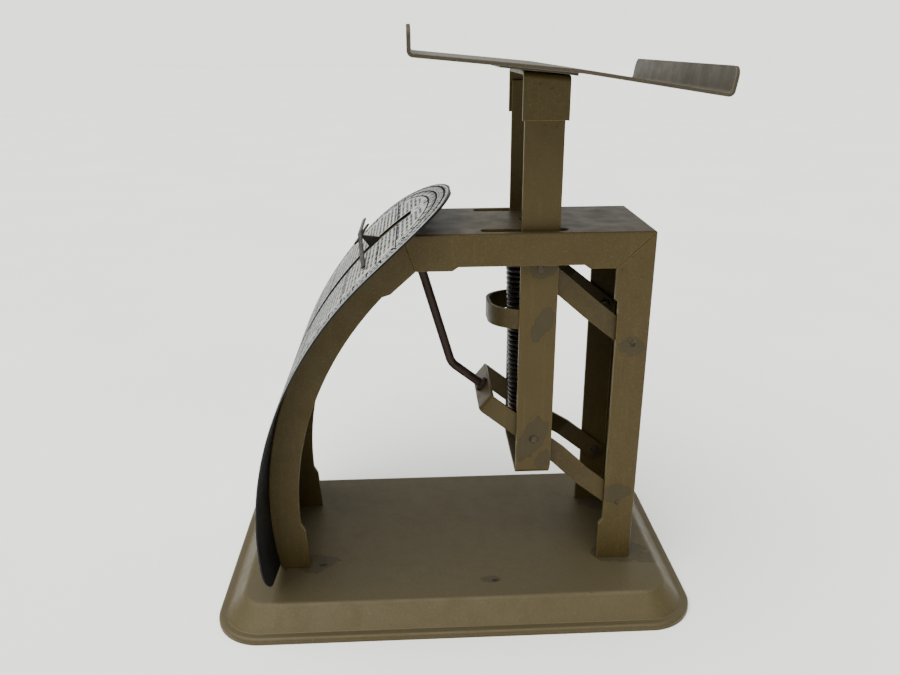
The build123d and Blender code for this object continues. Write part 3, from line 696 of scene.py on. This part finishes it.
class SCALE_OT_dial(bpy.types.Operator):
    """Dial plate, card and print"""

    bl_idname = "scale.dial"
    bl_label = "Dial"

    # the ring: its cells, its lines, and places in it as shares of its width
    cells = 56
    parts_in_cell = 4
    ring_line = 0.62 * MM
    rim_gap = 0.7 * MM
    middle_ring = 0.55
    number_foot = 0.5
    short_mark_end = 0.82
    long_mark = 1.1 * MM
    short_mark = 0.6 * MM

    # the card inside the ring: margins, rules and rows of fine print
    side_margin = 1.6 * MM
    nose_margin = 1.2 * MM
    slot_margin = SLOT_HALF + 0.3 * MM
    rule = 0.45 * MM
    thin_rule = 0.22 * MM
    letter_width = 0.55 * MM
    letter_pitch = 0.8 * MM
    letter_height = 1.1 * MM
    heading_height = 1.3 * MM
    heading_share = 0.12

    def execute(self, context):
        settings = context.scene.scale_dial
        dress(["dial_plate"], black_japan("black_japanned_sheet"))
        dress(["dial_face"], varnished_card("varnished_card"))
        self.surface = DialSurface()
        self.ring_width = settings.ring_width
        sheet = DialPrint(self.surface)
        self.graduations(sheet, settings)
        self.table_rules(sheet)
        self.fine_print(sheet, settings)
        self.rosette(sheet)
        inks = [
            printing_ink("black_letterpress_ink", "#0B0B0D", "#2E2F30", 0.5),
            printing_ink("grey_fine_print_ink", "#29292B", "#5A5B5A", 0.7),
        ]
        piece = add_mesh("dial_print", sheet.points, sheet.faces, inks, sheet.inks)
        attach(piece, "root")
        return {"FINISHED"}

    def graduations(self, sheet, settings):
        """Ring of numbered cells round the border, each in four parts."""
        width = settings.ring_width
        middle = self.middle_ring * width
        for inset in (self.rim_gap, middle, width):
            sheet.ring(inset, inset + self.ring_line, sheet.black)
        total = sheet.surface.lengths[-1][1]
        parts = self.cells * self.parts_in_cell
        for i in range(parts + 1):
            run = total * i / parts
            long = i % self.parts_in_cell == 0
            inner = width if long else self.short_mark_end * width
            mark = self.long_mark if long else self.short_mark
            sheet.tick(run, middle, inner, mark, sheet.black)
            if long:
                sheet.tick(run, self.rim_gap, middle, self.short_mark, sheet.black)
        for i in range(self.cells):
            glyphs = glyph_shapes(str(i + 1))
            run = total * (i + 0.5) / self.cells
            foot = self.number_foot * width
            sheet.figure(glyphs, run, foot, settings.number_height, sheet.black)

    def arc_at(self, angle):
        """Arc for an angle about the lever's pivot, up from level."""
        return DIAL_RADIUS * (math.radians(angle) - self.surface.middle)

    def half_at(self, arc):
        """Half of the width inside the ring, which narrows in the nose."""
        surface = self.surface
        straight = surface.half_width - self.ring_width - self.side_margin
        beyond = DIAL_RADIUS * math.sin(arc / DIAL_RADIUS) - (surface.top - surface.nose)
        if beyond <= 0:
            return straight
        reach = surface.nose - self.ring_width - self.nose_margin
        return straight * math.sqrt(max(0.0, 1 - (beyond / reach) ** 2))

    def table_rules(self, sheet):
        """Lines across the card at some angles, and two lines along it."""
        full = self.surface.half_width - self.ring_width
        slot = self.slot_margin
        for angle, low, high, ink in (
            (52.1, -full, full, sheet.black),
            (48.6, -full, -12 * MM, sheet.black),
            (41.5, -full, -slot, sheet.grey),
            (36.0, slot, full, sheet.grey),
            (31.0, -full, full, sheet.grey),
            (20.0, -full, full, sheet.grey),
            (9.0, -full, full, sheet.grey),
            (-1.5, -full, full, sheet.grey),
        ):
            for start, end in ((low, min(high, -slot)), (max(low, slot), high)):
                if end > start:
                    sheet.block(self.arc_at(angle), start, self.rule, end - start, ink)
        foot, top = (self.arc_at(angle) for angle in (-1.5, 48))
        for across in (-0.5 * full, 0.5 * full):
            sheet.block(foot, across, top - foot, self.thin_rule, sheet.grey)

    def fine_print(self, sheet, settings):
        """Rows of unreadable words on both sides of the slot, made of plain blocks."""
        dice = random.Random(7)
        arc = self.arc_at(-6.0)
        stop = self.arc_at(57.0)
        wide = self.letter_width
        while arc < stop:
            half = self.half_at(arc)
            heading = dice.random() < self.heading_share
            ink = sheet.black if heading else sheet.grey
            tall = self.heading_height if heading else self.letter_height
            for side in (-1, 1):
                across = self.slot_margin + 0.8 * MM
                while across < half - 3 * MM:
                    letters = dice.randint(2, 7)
                    for _ in range(letters):
                        if across > half - 1.0 * MM:
                            break
                        left = across if side > 0 else -across - wide
                        sheet.block(arc, left, tall * dice.uniform(0.7, 1.0), wide, ink)
                        across += self.letter_pitch
                    across += dice.uniform(0.5, 1.1) * MM
            arc += settings.row_pitch

    def rosette(self, sheet):
        """Small plain ornament in the nose: a block with eight round it."""
        centre = self.arc_at(57.2)
        petal, core, reach = 1.0 * MM, 2.0 * MM, 3.2 * MM
        for i in range(8):
            turn = math.radians(45 * i)
            arc = centre + reach * math.cos(turn)
            across = reach * math.sin(turn) - petal / 2
            sheet.block(arc, across, petal, petal, sheet.black)
        sheet.block(centre, -core / 2, core, core, sheet.black)


# ------------------------------------------------------------------ levers
class SCALE_OT_levers(bpy.types.Operator):
    """Enamelled levers, pivot pins, guard band and rivets"""

    bl_idname = "scale.levers"
    bl_label = "Levers and pins"

    def execute(self, context):
        paint = context.scene.scale_paint.frame_paint
        lever = bronze_enamel(
            "stoved_bronze_enamel_levers", paint, "#352C18", "#6C5E2E", dust=0.25
        )
        dress(["lower_link", "upper_link_near", "upper_link_far", "guard_band"], lever)
        pins = oiled_steel("dull_steel_pins", "#332D22", "#4A4335", 0.5, 0.4)
        ends = [n for n in frame["nodes"] if "_pin_" in n]
        dress(ends + ["tray_rivets"], pins)
        return {"FINISHED"}


class SCALE_OT_pointer(bpy.types.Operator):
    """Pointer wire, its collar and the pointer"""

    bl_idname = "scale.pointer"
    bl_label = "Pointer"

    def execute(self, context):
        wire = oiled_steel("oil_blackened_wire", "#241A17", "#382B25", 0.5, 0.3)
        dress(["pointer_wire", "wire_collar"], wire)
        strip = oiled_steel("oil_blackened_strip", "#1B1817", "#2B2724", 0.5, 0.5)
        dress(["pointer"], strip)
        return {"FINISHED"}


# ------------------------------------------------------------------ spring
class SCALE_OT_spring(bpy.types.Operator):
    """Coil spring, its anchor, hook and zero screw"""

    bl_idname = "scale.spring"
    bl_label = "Spring"

    points_per_turn = 32
    points_around_wire = 10
    foot_lift = 0.22 * MM  # the slanting spring's lowest turn is this much above its box

    def execute(self, context):
        settings = context.scene.scale_spring
        steel = oiled_steel("tempered_spring_wire", "#0E0D0C", "#282521", 0.38, 0.25)
        fittings = oiled_steel("oil_blackened_fittings", "#1E1B18", "#35302A", 0.45, 0.5)
        dress(["spring_anchor", "spring_hook", "zero_screw"], fittings)
        coil = self.coil(settings, steel)
        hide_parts("spring")
        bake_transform(coil)
        return {"FINISHED"}

    def coil(self, settings, steel):
        """Close-wound helix from the anchor to the hook, with the ends of its wire closed."""
        wire = settings.wire_radius
        radius = (SPRING_HIGH.y - SPRING_LOW.y) / 2 - wire
        screw_low, screw_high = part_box("zero_screw")
        top_x = (screw_low.x + screw_high.x) / 2
        outer = radius + wire
        fixed_end = JOINTS["spring_stretch"]["deforming_nodes"][0]["fixed_end_z_m"]
        self.top = Vector((top_x, 0, fixed_end))
        self.foot = Vector((SPRING_HIGH.x - outer, 0, SPRING_LOW.z + self.foot_lift))
        axis = (self.foot - self.top).normalized()
        side = Vector((0, 1, 0))
        front = axis.cross(side)
        length = (self.foot - self.top).length - 2 * wire
        turns = length / settings.pitch
        around = self.points_around_wire
        count = round(turns * self.points_per_turn)
        points, faces = [], []
        for i in range(count + 1):
            angle = 2 * math.pi * turns * i / count
            out = side * math.cos(angle) + front * math.sin(angle)
            centre = self.top + axis * (wire + length * i / count) + out * radius
            for k in range(around):
                turn = 2 * math.pi * k / around
                points.append(centre + (out * math.cos(turn) + axis * math.sin(turn)) * wire)
            if i:
                last, here = (i - 1) * around, i * around
                for k in range(around):
                    n = (k + 1) % around
                    faces.append((last + k, last + n, here + n, here + k))
        faces.append(tuple(range(around)))
        faces.append(tuple(reversed(range(count * around, (count + 1) * around))))
        return add_mesh("spring_coil", points, faces, [steel], smooth=True)


# ------------------------------------------------------------------ panel and script
class SCALE_PT_parts(bpy.types.Panel):
    """Builds the scale's looks piece by piece"""

    bl_idname = "SCALE_PT_parts"
    bl_label = "Platform scale"
    bl_space_type = "VIEW_3D"
    bl_region_type = "UI"
    bl_category = "Scale"

    def draw(self, context):
        for operator in OPERATORS:
            self.layout.operator(operator.bl_idname)


SETTINGS = {
    "scale_paint": SCALE_PG_paint,
    "scale_dial": SCALE_PG_dial,
    "scale_spring": SCALE_PG_spring,
}
OPERATORS = (
    SCALE_OT_stage,
    SCALE_OT_sheet_metal,
    SCALE_OT_dial,
    SCALE_OT_levers,
    SCALE_OT_pointer,
    SCALE_OT_spring,
)


def register():
    """Adds the settings, operators and panel to Blender."""
    for group in (*SETTINGS.values(), *OPERATORS, SCALE_PT_parts):
        bpy.utils.register_class(group)
    for name, group in SETTINGS.items():
        setattr(bpy.types.Scene, name, bpy.props.PointerProperty(type=group))


def unregister():
    """Takes them away again."""
    for name in SETTINGS:
        delattr(bpy.types.Scene, name)
    for group in (SCALE_PT_parts, *reversed(OPERATORS), *SETTINGS.values()):
        bpy.utils.unregister_class(group)


def main():
    """Builds every piece in order."""
    register()
    for operator in OPERATORS:
        category, name = operator.bl_idname.split(".")
        getattr(getattr(bpy.ops, category), name)()


if __name__ == "__main__":
    main()
